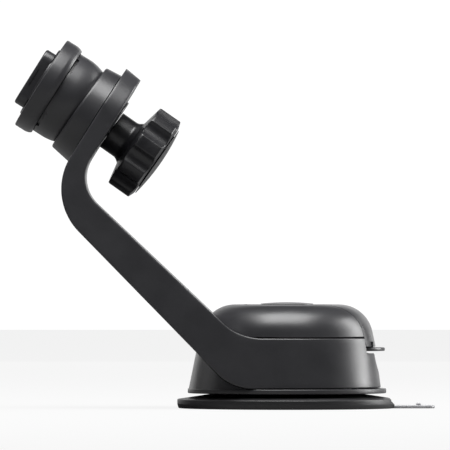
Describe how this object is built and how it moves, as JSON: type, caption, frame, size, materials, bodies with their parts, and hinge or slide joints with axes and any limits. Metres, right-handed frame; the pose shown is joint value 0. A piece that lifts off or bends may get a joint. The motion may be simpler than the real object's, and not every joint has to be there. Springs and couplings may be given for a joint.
{
  "type": "suction phone mount arm",
  "caption": "Suction-base dash mount: lever-locked cup under a domed foot, an angled arm, and a clamped ball head with a lock sleeve and lobed knob.",
  "frame": {"origin": "centre of the suction face, on the surface that the mount is stuck to", "axes": "+Z out of that surface, +X to the lever's tab and the pull tab, away from the arm; the phone side of the head faces -X and up"},
  "size_m": [0.1639, 0.0856, 0.1432],
  "materials": {
    "plastic": "satin",
    "gloss": "satin",
    "badge": "satin",
    "liner": "satin",
    "rubber": "matte",
    "gel": "satin",
    "steel": "satin",
    "brass": "satin"
  },
  "bodies": {
    "base": {"suction_cup": "rubber", "gel_pad": "gel", "base_skirt": "plastic", "arm_shell": "plastic", "arm_back_cover": "plastic", "dome_cover": "plastic", "cam_plate": "steel", "stem_spring": "steel", "socket_ring": "plastic", "clamp_stud": "steel", "pressure_washer": "steel", "skirt_screw_1": "steel", "skirt_screw_2": "steel", "skirt_screw_3": "steel", "skirt_screw_4": "steel", "cover_screw_1": "steel", "cover_screw_2": "steel", "ring_screw_1": "steel", "ring_screw_2": "steel", "ring_screw_3": "steel"},
    "stem": {"core_disc": "plastic", "cup_stem": "steel", "lever_pin": "steel", "pin_clip": "steel"},
    "lever": {"lever": "plastic", "lever_badge": "badge"},
    "knob_carrier": {"knob_washer": "steel"},
    "knob": {"knob_grip": "gloss", "knob_insert": "brass", "knob_cap": "gloss"},
    "ball_pan": {"friction_cup": "liner"},
    "ball_tilt": {"ball_insert": "liner"},
    "head": {"head_shell": "plastic", "lug_head": "plastic", "sleeve_spring": "steel", "head_screw_1": "steel", "head_screw_2": "steel", "head_screw_3": "steel", "head_screw_4": "steel"},
    "sleeve": {"lock_sleeve": "plastic"}
  },
  "joints": [
    {"name": "stem_lift", "type": "slide", "parent": "base", "child": "stem", "axis": [0, 0, 1], "range_m": [-0.003, 0], "deforming": ["stem_spring", "suction_cup", "gel_pad"]},
    {"name": "lever_open", "type": "hinge", "parent": "stem", "child": "lever", "pos_m": [0, 0, 0.0309], "axis": [0, -1, 0], "range_deg": [0, 75]},
    {"name": "knob_travel", "type": "slide", "parent": "base", "child": "knob_carrier", "axis": [0.8181, 0, -0.575], "range_m": [0, 0.00125]},
    {"name": "knob_turn", "type": "hinge", "parent": "knob_carrier", "child": "knob", "pos_m": [-0.08618, 0, 0.12092], "axis": [0.8181, 0, -0.575], "range_deg": [0, 360]},
    {"name": "head_pan", "type": "hinge", "parent": "base", "child": "ball_pan", "pos_m": [-0.08618, 0, 0.12092], "axis": [0.575, 0, 0.8181], "range_deg": [-15, 15]},
    {"name": "head_tilt", "type": "hinge", "parent": "ball_pan", "child": "ball_tilt", "pos_m": [-0.08618, 0, 0.12092], "axis": [0, 1, 0], "range_deg": [-15, 12]},
    {"name": "head_spin", "type": "hinge", "parent": "ball_tilt", "child": "head", "pos_m": [-0.08618, 0, 0.12092], "axis": [0.8474, 0, -0.531], "continuous": true},
    {"name": "sleeve_pull", "type": "slide", "parent": "head", "child": "sleeve", "axis": [0.8474, 0, -0.531], "range_m": [0, 0.002], "stiffness_N_per_m": 600, "springref_m": -0.0015, "deforming": ["sleeve_spring"]}
  ],
  "couplings": [
    {"joint": "lever_open", "follows": "stem_lift", "rad_per_m": -436.33},
    {"joint": "knob_turn", "follows": "knob_travel", "rad_per_m": 5026.5}
  ]
}
